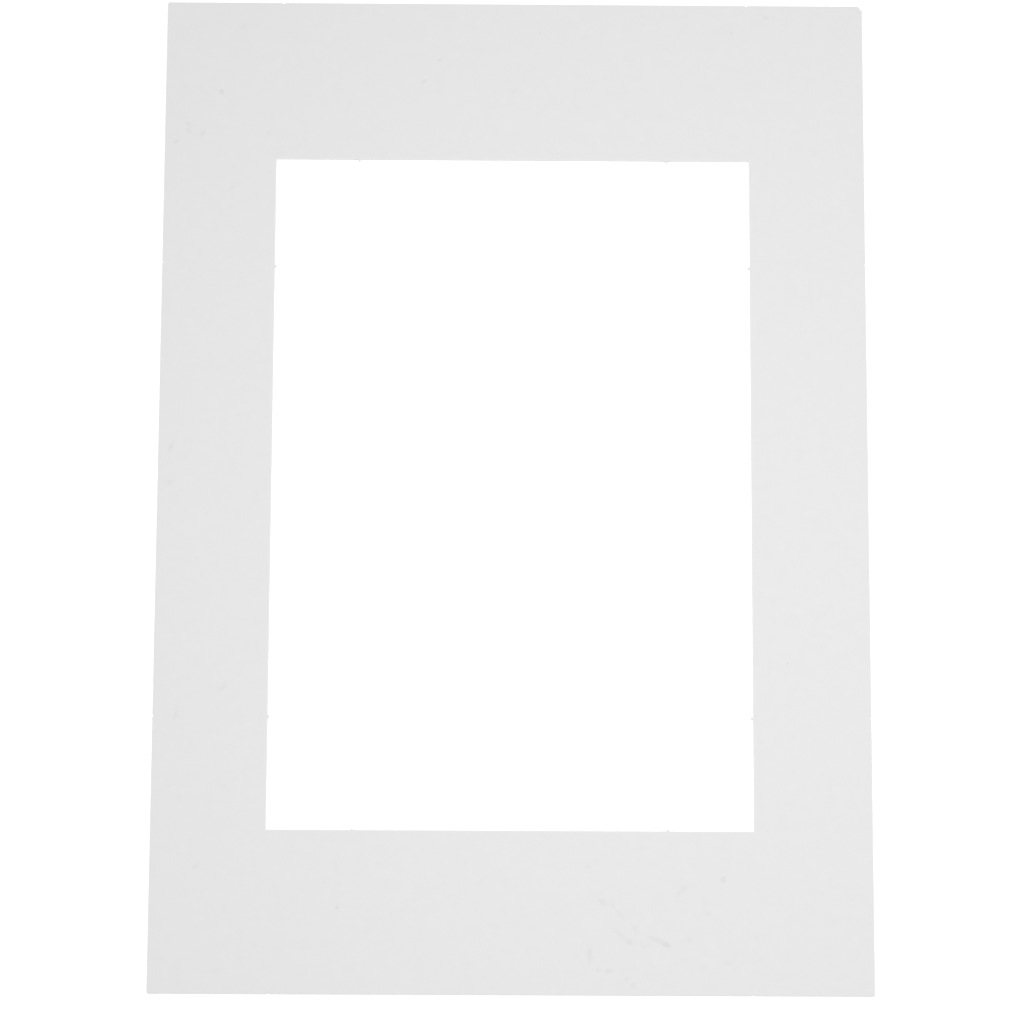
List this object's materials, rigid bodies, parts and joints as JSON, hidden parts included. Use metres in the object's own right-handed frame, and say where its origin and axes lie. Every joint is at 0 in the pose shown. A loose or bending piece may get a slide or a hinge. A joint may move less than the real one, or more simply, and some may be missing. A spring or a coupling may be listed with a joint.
{
  "type": "cardboard picture mount",
  "caption": "Flat die-cut card mount with a rectangular window, which frames a picture behind it and fits a standard picture frame.",
  "frame": {"origin": "middle of the card's outline, on the plane of its back face, which it lies on", "axes": "+X to the right of the picture, +Y to the top of the picture along the card's long side, +Z out of the front face"},
  "size_m": [0.21, 0.297, 0.0007],
  "materials": {
    "card": "matte"
  },
  "bodies": {
    "root": {"picture_mount": "card"}
  },
  "joints": []
}
